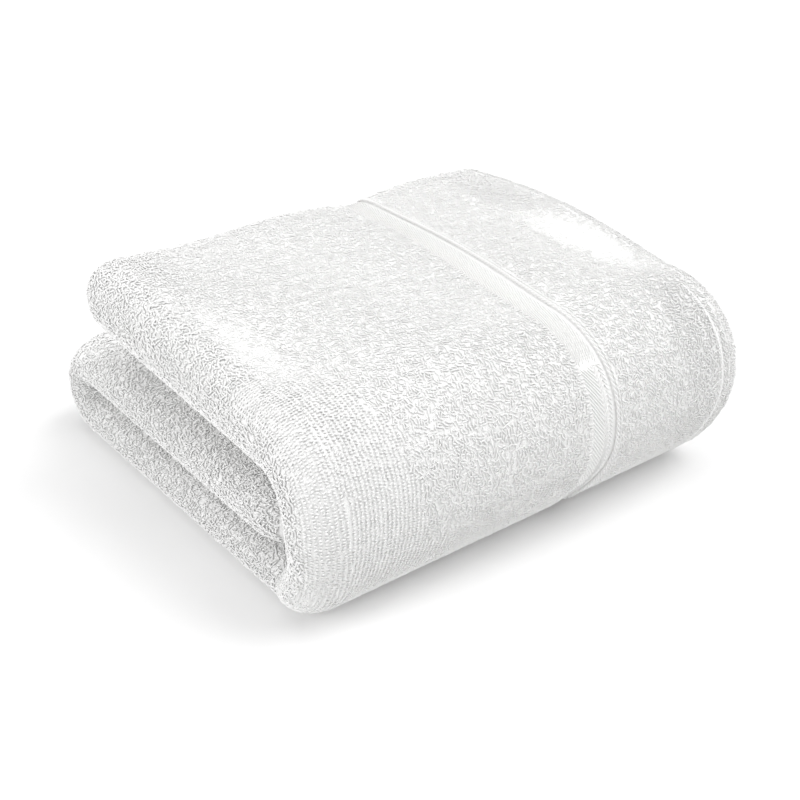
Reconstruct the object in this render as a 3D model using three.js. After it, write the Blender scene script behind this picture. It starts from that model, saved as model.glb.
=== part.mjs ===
// A thick white terry hand towel, folded and lying on a surface.
// The cloth is one sheet. It is folded across in half and in half again, which
// gives four plies with a closed end at the left and an open end at the right.
// The four plies are then folded in thirds like a letter: the middle panel goes
// in from the back, and the top panel comes over it from the front.
// Units are millimetres. X runs from the closed end to the open end, Y from the
// front fold to the back fold, and Z is up.

import * as THREE from "three";

// Folded size: overall depth, the rise and crown of the top panel, where its free edge
// ends, and where the middle panel's free edge starts inside the front fold
const FOLDED_WIDTH = 194;
const TOP_RISE = 8.5;
const RISE_POWER = 1.2;
const TOP_CROWN = 2;
const TOP_REACH = 149;
const MIDDLE_FRONT = 33;

// Cloth: one ply of terry with its loops, and how thick four plies lie in each panel
const PLY = 4;
const BOTTOM_STACK = 17.5;
const MIDDLE_STACK = 20;
const TOP_STACK = 26.5;
const EDGE_STACK = 19;
const PANEL_GAP = 3.5;

// Front fold: the arcs of its middle line, from the bottom panel up to the top panel
const FRONT_FOOT = 36.5;
const FRONT_ARCS = [
  { turn: 45, radius: 16, steps: 3 },
  { turn: 55, radius: 38, steps: 4 },
  { turn: 80, radius: 22, steps: 5 },
];

// The open end, the hems and the folds inside
const OPEN_END_ROUND = 11;
const HEM_CURL_ANGLE = THREE.MathUtils.degToRad(-8);
const HEM_INSET = 9;
const RIGHT_FOLD_INSET = 6.5;
const FOLD_CLEARANCE = 0.8;

// Woven border, hems and selvedges, which have no loops and lie thinner
const BORDER_LEFT = 109;
const BORDER_RIGHT = 120;
const BORDER_STEP = 1.2;
const BORDER_THINNING = 0.62;
const HEM_WIDTH = 9;
const HEM_THINNING = 0.7;
const SELVEDGE_THINNING = 0.7;
const SELVEDGE_WIDTH = 3;

// Where the stack starts and ends along X at the main lines of the letter fold
const ENDS = {
  middleFree: { left: 4.5, right: 188, lip: 9 },
  backFold: { left: 8, right: 189, lip: 15 },
  bottomFront: { left: 6, right: 190, lip: 15 },
  frontFold: { left: -2, right: 192, lip: 15 },
  topFront: { left: 0, right: 186.5, lip: 9.5 },
  topFree: { left: -1, right: 180.5, lip: 12 },
};

// Softness: the corner and edge of the free panels, and the bulge of the open end
const EDGE_ROUND = 4;
const EDGE_SHARPNESS = 4;
const CORNER_RADIUS = 15;
const CORNER_RETREAT = 6;
const TOP_END_BULGE = 5;

// Softness: the bulge of the front fold, the dip of the top at the border, and slow
// waves that run across the cloth at a slant
const FRONT_BULGE = 4;
const BULGE_CENTRE = 125;
const BULGE_REACH = 95;
const BULGE_DEPTH = 55;
const BULGE_FLOOR = 6;
const BORDER_DIP = 1.2;
const WAVE_HEIGHT = 0.7;
const WAVE_LENGTH = 74;
const WAVE_SLANT = 0.6;

// Softness: how the lower panels swell up to the top panel away from the closed end
const PUFF_START = 12;
const PUFF_REACH = 55;
const PUFF_FRONT = 36;
const PUFF_DEPTH = 37;
const PUFF_GAP = 2.5;
const PUFF_AT_BACK = 0.4;

// Places along X where every ply has points, so that the plies stay parallel
const PLY_STOPS = [28, 45, 67, 155];

// Steps of the mesh along the two routes, how much they crowd towards a free edge, and
// how many of the curl's last points belong to the hem
const STEPS = {
  middle: 6,
  backFold: 7,
  bottom: 6,
  top: 9,
  innerFold: 4,
  rightFold: 4,
  outerWrap: 8,
  hemCurl: 5,
};
const EDGE_CROWDING = 1.3;
const HEM_CURL_POINTS = 3;

const { clamp, degToRad, lerp, smoothstep } = THREE.MathUtils;

// Heights of the middle line of each panel
const bottomLine = BOTTOM_STACK / 2;
const middleLine = BOTTOM_STACK + PANEL_GAP + MIDDLE_STACK / 2;
const backRadius = (middleLine - bottomLine) / 2;
const backStart = FOLDED_WIDTH - backRadius - MIDDLE_STACK / 2;

// A low arch from 0 over 1 in the middle back to 0.
function arch(share) {
  return 4 * share * (1 - share);
}

// Mixes two rows of ENDS, such as half way between the front fold and the free edge.
function mixEnds(from, to, share) {
  return {
    left: lerp(from.left, to.left, share),
    right: lerp(from.right, to.right, share),
    lip: lerp(from.lip, to.lip, share),
  };
}

// One station of the letter fold: the middle line of the four plies passes through
// (y, z), their outer face looks along (ny, nz), and they lie `stack` thick.
// `edge` goes from 0 inside a panel to 1 at its free edge.
function station(y, z, ny, nz, stack, ends, edge = 0) {
  const length = Math.hypot(ny, nz);
  return { y, z, ny: ny / length, nz: nz / length, stack, ...ends, edge };
}

// How far into the rounded corner of a free panel a point lies, from 0 to 1.
function edgeShare(distance) {
  return clamp(1 - distance / CORNER_RADIUS, 0, 1);
}

function middlePanel() {
  const stations = [];
  for (let i = 0; i <= STEPS.middle; i++) {
    const share = (i / STEPS.middle) ** EDGE_CROWDING;
    const y = lerp(MIDDLE_FRONT, backStart, share);
    const edge = edgeShare(y - MIDDLE_FRONT);
    const stack = lerp(MIDDLE_STACK, EDGE_STACK, edge ** 2);
    const ends = mixEnds(ENDS.middleFree, ENDS.backFold, share);
    stations.push(station(y, middleLine, 0, 1, stack, ends, -edge));
  }
  return stations;
}

function backFold() {
  const stations = [];
  for (let i = 1; i < STEPS.backFold; i++) {
    const share = i / STEPS.backFold;
    const angle = Math.PI * (0.5 - share);
    const y = backStart + backRadius * Math.cos(angle);
    const z = bottomLine + backRadius * (1 + Math.sin(angle));
    const stack = lerp(MIDDLE_STACK, BOTTOM_STACK, share);
    stations.push(station(y, z, Math.cos(angle), Math.sin(angle), stack, ENDS.backFold));
  }
  return stations;
}

function bottomPanel() {
  const stations = [];
  for (let i = 0; i <= STEPS.bottom; i++) {
    const share = i / STEPS.bottom;
    const y = lerp(backStart, FRONT_FOOT, share);
    const ends = mixEnds(ENDS.backFold, ENDS.bottomFront, share);
    stations.push(station(y, bottomLine, 0, -1, BOTTOM_STACK, ends));
  }
  return stations;
}

// Walks the arcs of the front fold. The heading turns from 0 at the foot, where the
// line runs forwards, to half a turn at the top, where it runs backwards.
function frontLine() {
  const line = [];
  let y = FRONT_FOOT;
  let z = bottomLine;
  let heading = 0;
  for (const { turn, radius, steps } of FRONT_ARCS) {
    for (let i = 0; i < steps; i++) {
      const next = heading + degToRad(turn) / steps;
      y -= radius * (Math.sin(next) - Math.sin(heading));
      z += radius * (Math.cos(heading) - Math.cos(next));
      heading = next;
      line.push({ y, z, heading });
    }
  }
  return line;
}

function frontFold() {
  const stations = [];
  for (const { y, z, heading } of frontLine().slice(0, -1)) {
    const share = heading / Math.PI;
    const stack = lerp(BOTTOM_STACK, TOP_STACK, smoothstep(share, 0, 1));
    const ends =
      share < 0.5
        ? mixEnds(ENDS.bottomFront, ENDS.frontFold, share * 2)
        : mixEnds(ENDS.frontFold, ENDS.topFront, share * 2 - 1);
    stations.push(station(y, z, -Math.sin(heading), -Math.cos(heading), stack, ends));
  }
  return stations;
}

// Where the top panel leaves the front fold, and how it rises and crowns behind that.
const topStart = frontLine().at(-1);
const topHeight = topStart.z + TOP_STACK / 2;

function topSwell(share) {
  return TOP_RISE * share ** RISE_POWER + TOP_CROWN * arch(share);
}

function topPanel() {
  const stations = [];
  for (let i = 0; i <= STEPS.top; i++) {
    const share = 1 - (1 - i / STEPS.top) ** EDGE_CROWDING;
    const y = lerp(topStart.y, TOP_REACH, share);
    const edge = edgeShare(TOP_REACH - y);
    const z = topStart.z + topSwell(share);
    const stack = lerp(TOP_STACK, EDGE_STACK, edge ** 2);
    const ends = mixEnds(ENDS.topFront, ENDS.topFree, share);
    ends.right += TOP_END_BULGE * arch(share);
    stations.push(station(y, z, 0, 1, stack, ends, edge));
  }
  return stations;
}

// A bend of one ply around (x, t). `side` is 1 where the face of the cloth is on the
// outside of the bend, and -1 where it is on the inside.
function bend(x, t, radiusX, radiusT, from, to, steps, side) {
  const points = [];
  for (let i = 0; i <= steps; i++) {
    const angle = lerp(from, to, i / steps);
    const normal = new THREE.Vector2(Math.cos(angle) / radiusX, Math.sin(angle) / radiusT);
    normal.normalize().multiplyScalar(side);
    points.push({
      x: x + radiusX * Math.cos(angle),
      t: t + radiusT * Math.sin(angle),
      normal,
      thin: 1,
    });
  }
  return points;
}

// A straight run of one ply between two bends, without its end points. A run that
// carries the border has points on both sides of each of the border's edges.
function run(fromX, toX, t, face, hasBorder) {
  const borderEdges = [
    { x: BORDER_LEFT - BORDER_STEP, thin: 1 },
    { x: BORDER_LEFT + BORDER_STEP, thin: BORDER_THINNING },
    { x: BORDER_RIGHT - BORDER_STEP, thin: BORDER_THINNING },
    { x: BORDER_RIGHT + BORDER_STEP, thin: 1 },
  ];
  const plain = [...PLY_STOPS, (BORDER_LEFT + BORDER_RIGHT) / 2];
  const stops = hasBorder ? PLY_STOPS.concat(borderEdges) : plain;
  const points = stops.map((stop) => (typeof stop === "number" ? { x: stop, thin: 1 } : stop));
  const direction = Math.sign(toX - fromX);
  points.sort((p, q) => direction * (p.x - q.x));
  const normal = new THREE.Vector2(0, face);
  return points.map(({ x, thin }) => ({ x, t, normal, thin }));
}

// The route of the cloth through its four plies at one station, from one hem to the
// other. t is the distance from the middle line of the stack.
function plyRoute(at) {
  const outer = (at.stack - PLY) / 2;
  const pitch = (at.stack - PLY) / 3;
  const retreat = CORNER_RETREAT * at.edge ** 2;
  const left = at.left + retreat;
  const right = at.right - retreat;
  const rightFoldX = right - RIGHT_FOLD_INSET - pitch / 2;
  const wrapX = left + at.lip;
  const innerReach = pitch / 2 + PLY / 2;
  const innerX = Math.max(wrapX, left + PLY + FOLD_CLEARANCE + innerReach);
  const curlX = right - OPEN_END_ROUND;
  const half = Math.PI / 2;
  const hemEnd = right - HEM_INSET;
  const hem = { x: hemEnd, t: pitch / 2, normal: new THREE.Vector2(0, -1), thin: HEM_THINNING };
  const hemStart = { ...hem, x: hemEnd - HEM_WIDTH };
  const beforeHem = { ...hem, x: hemEnd - HEM_WIDTH - BORDER_STEP, thin: 1 };
  const curl = bend(
    curlX, 0, OPEN_END_ROUND - PLY / 2, outer, half, HEM_CURL_ANGLE, STEPS.hemCurl, 1,
  );
  for (const point of curl.slice(-HEM_CURL_POINTS)) point.thin = HEM_THINNING;
  return [
    hem,
    hemStart,
    beforeHem,
    ...run(beforeHem.x, innerX, pitch / 2, -1, true),
    ...bend(innerX, 0, pitch / 2, pitch / 2, half, 3 * half, STEPS.innerFold, -1),
    ...run(innerX, rightFoldX, -pitch / 2, 1, false),
    ...bend(rightFoldX, -pitch, pitch / 2, pitch / 2, half, -half, STEPS.rightFold, 1),
    ...run(rightFoldX, wrapX, -outer, -1, false),
    ...bend(wrapX, 0, at.lip - PLY / 2, outer, 3 * half, half, STEPS.outerWrap, 1),
    ...run(wrapX, curlX, outer, 1, true),
    ...curl,
  ];
}

// Slow unevenness of the lying cloth. Nothing moves at the surface below it.
function soften(point) {
  const across = clamp((point.x - BULGE_CENTRE) / BULGE_REACH, -1, 1);
  const front = 1 - smoothstep(point.y, 0, BULGE_DEPTH);
  const height = smoothstep(point.z, BULGE_FLOOR, topHeight / 2);
  point.y -= FRONT_BULGE * (1 - across * across) ** 2 * front * height;
  const phase = (2 * Math.PI * (point.x + WAVE_SLANT * point.y)) / WAVE_LENGTH;
  const above = smoothstep(point.z, BOTTOM_STACK, topHeight);
  const border = (point.x - (BORDER_LEFT + BORDER_RIGHT) / 2) / (BORDER_RIGHT - BORDER_LEFT);
  point.z += (WAVE_HEIGHT * Math.sin(phase) - BORDER_DIP * Math.exp(-border * border)) * above;
  return point;
}

// Away from the pinched closed end the lower panels swell up to the top panel.
function puff(point, topUnderside) {
  const middleTop = BOTTOM_STACK + PANEL_GAP + MIDDLE_STACK;
  const room = Math.max(topUnderside - middleTop - PUFF_GAP, 0);
  const inward = smoothstep(point.x, PUFF_START, PUFF_START + PUFF_REACH);
  const behindFold = smoothstep(point.y, PUFF_FRONT, PUFF_FRONT + PUFF_DEPTH);
  const back = lerp(1, PUFF_AT_BACK, smoothstep(point.y, TOP_REACH, FOLDED_WIDTH));
  const lift = room * inward * behindFold * back;
  const rising = point.z / middleTop;
  const falling = (topUnderside - point.z) / (topUnderside - middleTop);
  point.z += lift * clamp(Math.min(rising, falling), 0, 1);
  return point;
}

// Height of the underside of the top panel over a point at y.
function topUndersideAt(y) {
  const share = clamp((y - topStart.y) / (TOP_REACH - topStart.y), 0, 1);
  return topStart.z + topSwell(share) - TOP_STACK / 2;
}

// The point of the cloth at a station, `offset` towards its face.
function clothPoint(at, place, offset) {
  const x = place.x + place.normal.x * offset;
  const t = place.t + place.normal.y * offset;
  const roundness = (2 * t) / at.stack;
  const along = -Math.sign(at.edge) * EDGE_ROUND * at.edge ** EDGE_SHARPNESS * roundness ** 2;
  const point = new THREE.Vector3(x, at.y + at.ny * t + along, at.z + at.nz * t);
  return soften(puff(point, topUndersideAt(point.y)));
}

// Both faces of the sheet as a grid of points, closed at the hems and selvedges.
function sheetGeometry(stations) {
  const rows = stations.map(plyRoute);
  const across = rows[0].length;
  const positions = [];
  stations.forEach((at, row) => {
    const free = row === 0 || row === stations.length - 1;
    const selvedge = free ? SELVEDGE_THINNING : 1;
    for (const place of rows[row]) {
      const half = (PLY / 2) * Math.min(place.thin, selvedge);
      for (const offset of [half, -half]) {
        positions.push(...clothPoint(at, place, offset).toArray());
      }
    }
  });
  const index = [];
  const vertex = (row, column, side) => (row * across + column) * 2 + side;
  const quad = (a, b, c, d) => index.push(a, b, c, a, c, d);
  const last = stations.length - 1;
  const end = across - 1;
  for (let r = 0; r < last; r++) {
    for (let c = 0; c < end; c++) {
      // Plies that run back take the other diagonal, so that neighbours stay parallel.
      const turn = rows[r][c + 1].x < rows[r][c].x ? 1 : 0;
      const face = [
        vertex(r, c, 0), vertex(r, c + 1, 0), vertex(r + 1, c + 1, 0), vertex(r + 1, c, 0),
      ];
      const under = face.map((corner) => corner + 1).reverse();
      quad(...face.slice(turn), ...face.slice(0, turn));
      quad(...under.slice(1 - turn), ...under.slice(0, 1 - turn));
    }
    quad(vertex(r, 0, 0), vertex(r + 1, 0, 0), vertex(r + 1, 0, 1), vertex(r, 0, 1));
    quad(vertex(r, end, 0), vertex(r, end, 1), vertex(r + 1, end, 1), vertex(r + 1, end, 0));
  }
  for (let c = 0; c < end; c++) {
    quad(vertex(0, c, 0), vertex(0, c, 1), vertex(0, c + 1, 1), vertex(0, c + 1, 0));
    quad(vertex(last, c, 0), vertex(last, c + 1, 0), vertex(last, c + 1, 1), vertex(last, c, 1));
  }
  const geometry = new THREE.BufferGeometry();
  geometry.setAttribute("position", new THREE.Float32BufferAttribute(positions, 3));
  geometry.setIndex(index);
  return geometry;
}

// Selvedge columns close to the free edges, where the cloth thins over a few millimetres.
function withSelvedges(stations) {
  const inner = stations.slice(1, -1);
  const near = (end, next) => {
    const share = SELVEDGE_WIDTH / Math.abs(next.y - end.y);
    const between = { ...end };
    for (const key of ["y", "z", "stack", "left", "right", "lip", "edge"]) {
      between[key] = lerp(end[key], next[key], share);
    }
    return between;
  };
  const first = stations[0];
  const final = stations.at(-1);
  return [first, near(first, inner[0]), ...inner, near(final, inner.at(-1)), final];
}

const white = new THREE.MeshStandardMaterial({
  color: 0xf7f6f3,
  roughness: 0.95,
  metalness: 0,
});

const letterFold = withSelvedges([
  ...middlePanel(),
  ...backFold(),
  ...bottomPanel(),
  ...frontFold(),
  ...topPanel(),
]);
const towel = new THREE.Mesh(sheetGeometry(letterFold), white);
towel.name = "towel";

// The frame's origin is the middle of the footprint, on the surface below.
towel.geometry.computeBoundingBox();
const middle = towel.geometry.boundingBox.getCenter(new THREE.Vector3());
const lowest = towel.geometry.boundingBox.min.z;
towel.geometry.translate(-middle.x, -middle.y, -lowest);
towel.geometry.computeVertexNormals();

const group = new THREE.Group();
group.add(towel);

export default group;
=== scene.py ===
# %% [markdown]
# This lesson dresses one folded hand towel of thick white terry. The real thing is a
# single piece of cloth, 508 x 762 mm. It is folded across into four plies, and the four
# plies are folded in thirds like a letter. The cloth is made here as the weaver and the
# folder make it: first the path of the folds, then the ground cloth that follows it,
# then the loops that stand on the cloth, and last the woven border.

import bpy
import numpy as np
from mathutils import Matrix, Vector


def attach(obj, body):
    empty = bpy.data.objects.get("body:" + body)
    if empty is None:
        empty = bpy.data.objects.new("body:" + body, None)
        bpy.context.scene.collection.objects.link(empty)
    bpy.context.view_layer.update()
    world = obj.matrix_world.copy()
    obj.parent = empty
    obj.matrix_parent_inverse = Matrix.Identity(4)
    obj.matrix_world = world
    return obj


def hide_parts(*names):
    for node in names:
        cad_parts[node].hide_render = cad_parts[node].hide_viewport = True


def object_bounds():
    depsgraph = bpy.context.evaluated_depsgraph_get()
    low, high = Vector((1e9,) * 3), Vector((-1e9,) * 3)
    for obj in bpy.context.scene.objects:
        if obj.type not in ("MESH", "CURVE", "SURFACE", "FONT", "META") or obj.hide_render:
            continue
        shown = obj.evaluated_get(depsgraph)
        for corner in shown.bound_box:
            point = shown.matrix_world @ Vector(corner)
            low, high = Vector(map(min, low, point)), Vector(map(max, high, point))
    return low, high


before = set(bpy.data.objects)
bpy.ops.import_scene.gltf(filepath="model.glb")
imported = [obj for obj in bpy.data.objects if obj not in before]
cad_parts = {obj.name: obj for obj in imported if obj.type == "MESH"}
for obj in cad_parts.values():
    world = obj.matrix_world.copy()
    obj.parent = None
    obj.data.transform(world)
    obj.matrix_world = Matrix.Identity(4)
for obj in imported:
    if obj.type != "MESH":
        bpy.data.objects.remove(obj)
cad_low, cad_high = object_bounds()
print("CAD box in metres:", [round(v, 4) for v in (*cad_low, *cad_high)])

# %% [markdown]
# Sizes come first. Lengths are in millimetres, because a weaver counts in them, and
# `MM` turns them into Blender's metres when a mesh is made. X runs from the closed end
# to the open end, Y from the big front fold to the back, and Z is up. A towel could be
# folded by cloth simulation, but twelve layers of thick pile take very long to settle,
# so the folds are laid along two paths: one from hem to hem, one from selvedge
# to selvedge.

# %% Sizes of the folded towel
MM = 0.001
DEPTH = 194.0
TOP_REACH = 149.0  # where the top panel's free edge lies, from the front
TOP_RISE, RISE_POWER, TOP_CROWN = 8.5, 1.2, 2.0
MIDDLE_FRONT = 33.0  # where the middle panel's free edge lies
BOTTOM_STACK, MIDDLE_STACK, TOP_STACK, EDGE_STACK = 17.5, 20.0, 26.5, 19.0
PANEL_GAP = 3.5
FRONT_FOOT = 36.5  # where the front fold leaves the table
FRONT_ARCS = [  # turn in degrees, radius
    (45, 16.0),
    (55, 38.0),
    (80, 22.0),
]
PLY = 4.0
PILE = 0.35  # how deep under the skin the bows of yarn begin
BORDER_LEFT, BORDER_RIGHT = 109.0, 120.0
# Where the stack of four plies starts and ends along X, and how long its left lip is
ENDS = {  # left, right, lip
    "middle_free": (4.5, 188.0, 9.0),
    "back_fold": (8.0, 189.0, 15.0),
    "bottom_front": (6.0, 190.0, 15.0),
    "front_fold": (-2.0, 192.0, 15.0),
    "top_front": (0.0, 186.5, 9.5),
    "top_free": (-1.0, 180.5, 12.0),
}
TOP_END_BULGE = 5.0
CORNER_RADIUS, CORNER_RETREAT = 15.0, 6.0
EDGE_ROUND = 4.0
OPEN_END_ROUND, HEM_CURL_DEG = 11.0, -8.0
HEM_INSET, RIGHT_FOLD_INSET, FOLD_CLEARANCE = 9.0, 6.5, 0.8

# %% [markdown]
# Thick cloth has no hard corners, so every change on the way is a soft one. Three small
# functions do that: a plain mixture, a soft step and a low arch. The four plies end at
# other places on every panel, and `ends_between` mixes those too.

# %% Soft changes
def mix(a, b, share):
    return a + (b - a) * share


def smooth(x, low, high):
    t = np.clip((x - low) / (high - low), 0, 1)
    return t * t * (3 - 2 * t)


def arch(share):
    return 4 * share * (1 - share)


def ends_between(first, second, share):
    """Three columns, left, right and lip, mixed between two rows of ENDS."""
    return mix(np.array(ENDS[first]), np.array(ENDS[second]), np.atleast_1d(share)[:, None])


print("a quarter of the way, the soft step is at", smooth(0.25, 0, 1), "and the arch at", arch(0.25))

# %% [markdown]
# The big front fold isn't a half circle. It turns sharply at the table, stands almost
# straight in the middle, and rolls over to the top in an arc of its own. So its middle
# line is walked in small steps along three arcs.

# %% The big front fold seen from the side
def front_line(step_deg=3.0):
    """Points and headings of the front fold's middle line, walked along its arcs."""
    y, z, heading = FRONT_FOOT, BOTTOM_STACK / 2, 0.0
    line = []
    for turn, radius in FRONT_ARCS:
        steps = int(round(turn / step_deg))
        for _ in range(steps):
            following = heading + np.radians(turn) / steps
            y -= radius * (np.sin(following) - np.sin(heading))
            z += radius * (np.cos(heading) - np.cos(following))
            heading = following
            line.append((y, z, heading))
    return np.array(line)


bottom_line = BOTTOM_STACK / 2
middle_line = BOTTOM_STACK + PANEL_GAP + MIDDLE_STACK / 2
back_radius = (middle_line - bottom_line) / 2
back_start = DEPTH - back_radius - MIDDLE_STACK / 2
top_start_y, top_start_z, _ = front_line()[-1]
top_height = top_start_z + TOP_STACK / 2
print("the top panel starts", round(top_height, 1), "mm above the table")

# %% [markdown]
# The letter fold is one long path seen from the side: in along the middle panel, round
# the small back fold, out along the bottom panel, round the big front fold and back
# along the top panel. Each station on it knows where the middle of the four plies lies,
# which way their outer face looks, and how thick they lie there.

# %% The letter fold, from the free edge inside to the free edge on top
PANEL_STATIONS, BACK_STATIONS, TOP_STATIONS = 40, 20, 60


def top_swell(share):
    return TOP_RISE * share**RISE_POWER + TOP_CROWN * arch(share)


def edge_share(distance):
    return np.clip(1 - distance / CORNER_RADIUS, 0, 1)


def panel(y, z, ny, nz, stack, ends, edge=0.0):
    """Rows of y, z, ny, nz, stack, left, right, lip, edge for one stretch of the path."""
    columns = np.broadcast_arrays(y, z, ny, nz, stack, *ends.T, edge)
    return np.stack(columns, 1).astype(float)


def letter_fold():
    share = np.linspace(0, 1, PANEL_STATIONS)
    y = mix(MIDDLE_FRONT, back_start, share)
    edge = edge_share(y - MIDDLE_FRONT)
    stack = mix(MIDDLE_STACK, EDGE_STACK, edge**2)
    middle = panel(y, middle_line, 0, 1, stack, ends_between("middle_free", "back_fold", share), -edge)

    share = np.linspace(0, 1, BACK_STATIONS)[1:-1]
    angle = np.pi * (0.5 - share)
    ny, nz = np.cos(angle), np.sin(angle)
    stack = mix(MIDDLE_STACK, BOTTOM_STACK, share)
    ends = ends_between("back_fold", "back_fold", share)
    back = panel(back_start + back_radius * ny, bottom_line + back_radius * (1 + nz), ny, nz, stack, ends)

    share = np.linspace(0, 1, PANEL_STATIONS)
    ends = ends_between("back_fold", "bottom_front", share)
    bottom = panel(mix(back_start, FRONT_FOOT, share), bottom_line, 0, -1, BOTTOM_STACK, ends)

    y, z, heading = front_line()[:-1].T
    share = heading / np.pi
    stack = mix(BOTTOM_STACK, TOP_STACK, smooth(share, 0, 1))
    rising = ends_between("bottom_front", "front_fold", share * 2)
    closing = ends_between("front_fold", "top_front", share * 2 - 1)
    ends = np.where(share[:, None] < 0.5, rising, closing)
    front = panel(y, z, -np.sin(heading), -np.cos(heading), stack, ends)

    share = np.linspace(0, 1, TOP_STATIONS)
    y = mix(top_start_y, TOP_REACH, share)
    edge = edge_share(TOP_REACH - y)
    stack = mix(TOP_STACK, EDGE_STACK, edge**2)
    ends = ends_between("top_front", "top_free", share)
    ends[:, 1] += TOP_END_BULGE * arch(share)
    top = panel(y, top_start_z + top_swell(share), 0, 1, stack, ends, edge)
    return {"middle": middle, "back": back, "bottom": bottom, "front": front, "top": top}


fold = letter_fold()
PATH = np.concatenate(list(fold.values()))
path_steps = np.hypot(*np.diff(PATH[:, :2], axis=0).T)
PATH_S = np.concatenate([[0], np.cumsum(path_steps)])
reach = {}
count = 0
for name, rows in fold.items():
    reach[name] = (PATH_S[count], PATH_S[count + len(rows) - 1])
    count += len(rows)


def stations(s):
    """The nine columns of the path at the distances s from the hidden free edge."""
    return np.stack([np.interp(s, PATH_S, column) for column in PATH.T], -1)

# %% [markdown]
# A folded towel is never as straight as its plan. Its lower panels puff up where nothing
# pinches them, its front bulges, slow waves run over it, and the thin woven border
# leaves a shallow dip. These are small shifts of a point, worked out from its place.

# %% How the soft cloth departs from its plan
FRONT_BULGE, BULGE_CENTRE, BULGE_REACH, BULGE_DEPTH, BULGE_FLOOR = 4.0, 125.0, 95.0, 55.0, 6.0
BORDER_DIP = 1.2
WAVE_HEIGHT, WAVE_LENGTH, WAVE_SLANT = 0.7, 74.0, 0.6
PUFF_START, PUFF_REACH, PUFF_FRONT, PUFF_DEPTH = 12.0, 55.0, 36.0, 37.0
PUFF_GAP, PUFF_AT_BACK = 2.5, 0.4


def puffed(x, y, z):
    """Away from the pinched closed end the lower panels swell up to the top panel."""
    share = np.clip((y - top_start_y) / (TOP_REACH - top_start_y), 0, 1)
    underside = top_start_z + top_swell(share) - TOP_STACK / 2
    middle_top = BOTTOM_STACK + PANEL_GAP + MIDDLE_STACK
    room = np.maximum(underside - middle_top - PUFF_GAP, 0)
    inward = smooth(x, PUFF_START, PUFF_START + PUFF_REACH)
    behind_fold = smooth(y, PUFF_FRONT, PUFF_FRONT + PUFF_DEPTH)
    back = mix(1, PUFF_AT_BACK, smooth(y, TOP_REACH, DEPTH))
    lift = room * inward * behind_fold * back
    falling = (underside - z) / (underside - middle_top)
    return z + lift * np.clip(np.minimum(z / middle_top, falling), 0, 1)


def softened(x, y, z):
    """The bulge of the front fold, slow waves, and the dip along the woven border."""
    across = np.clip((x - BULGE_CENTRE) / BULGE_REACH, -1, 1)
    front = 1 - smooth(y, 0, BULGE_DEPTH)
    height = smooth(z, BULGE_FLOOR, top_height / 2)
    y = y - FRONT_BULGE * (1 - across**2) ** 2 * front * height
    phase = 2 * np.pi * (x + WAVE_SLANT * y) / WAVE_LENGTH
    border = (x - (BORDER_LEFT + BORDER_RIGHT) / 2) / (BORDER_RIGHT - BORDER_LEFT)
    above = smooth(z, BOTTOM_STACK, top_height)
    z = z + (WAVE_HEIGHT * np.sin(phase) - BORDER_DIP * np.exp(-(border**2))) * above
    return y, z


print("the bulge is", FRONT_BULGE, "mm and the border's dip", BORDER_DIP, "mm deep")

# %% [markdown]
# The second path is the cloth's own way through its four plies, from one hem to the
# other. Both paths together give a map: a distance along the letter fold, a place
# across the stack and a height in the stack become one point in space. Everything on
# this towel is laid with that one map, so ground, border and loops always fit. The map
# is moved so that its skin has the same middle as the CAD box.

# %% The map from the flat stack to the folded towel
SKIN_STEPS = 73


def place(s, x, t):
    """Points in millimetres, counted from the closed end and the front, for s, x and t."""
    y0, z0, ny, nz, stack, _, _, _, edge = np.moveaxis(stations(s), -1, 0)
    length = np.hypot(ny, nz)
    ny, nz = ny / length, nz / length
    roundness = 2 * t / stack
    along = -np.sign(edge) * EDGE_ROUND * edge**4 * roundness**2
    y = y0 + ny * t + along
    z = z0 + nz * t
    y, z = softened(x, y, puffed(x, y, z))
    return np.stack([x, y, z], -1)


def outline_box():
    """The box that the outer skin of the stack fills."""
    around = np.linspace(0, 2 * np.pi, SKIN_STEPS)
    s, angle = np.meshgrid(PATH_S, around)
    columns = np.moveaxis(stations(s), -1, 0)
    stack, left, right, lip = columns[4:8]
    at_left = np.cos(angle) < 0
    start = np.where(at_left, left + lip, right - OPEN_END_ROUND)
    bow = np.where(at_left, lip, OPEN_END_ROUND)
    skin = place(s, start + bow * np.cos(angle), stack / 2 * np.sin(angle))
    return skin.min((0, 1)), skin.max((0, 1))


skin_low, skin_high = outline_box()
cad_middle = np.array([(a + b) / 2 for a, b in zip(cad_low, cad_high)]) / MM
SHIFT = cad_middle - (skin_low + skin_high) / 2
SHIFT[2] = 0
print("skin of the map, in mm:", np.round(skin_high - skin_low, 1))

# %% [markdown]
# Cloth and yarn could be drawn with the mesh tools, but their tens of thousands of
# points all follow the folds. So they are worked out as numpy arrays, and one helper
# turns them into a mesh for every piece. Nothing may reach below the table, so the
# lowest points are lifted to `FLOOR_GAP`. The object stays at the origin, unturned, and
# the places are all in the mesh, so a pattern on Object coordinates can't slide.

# %% A helper that turns arrays into a piece
FLOOR_GAP = 0.03


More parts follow.
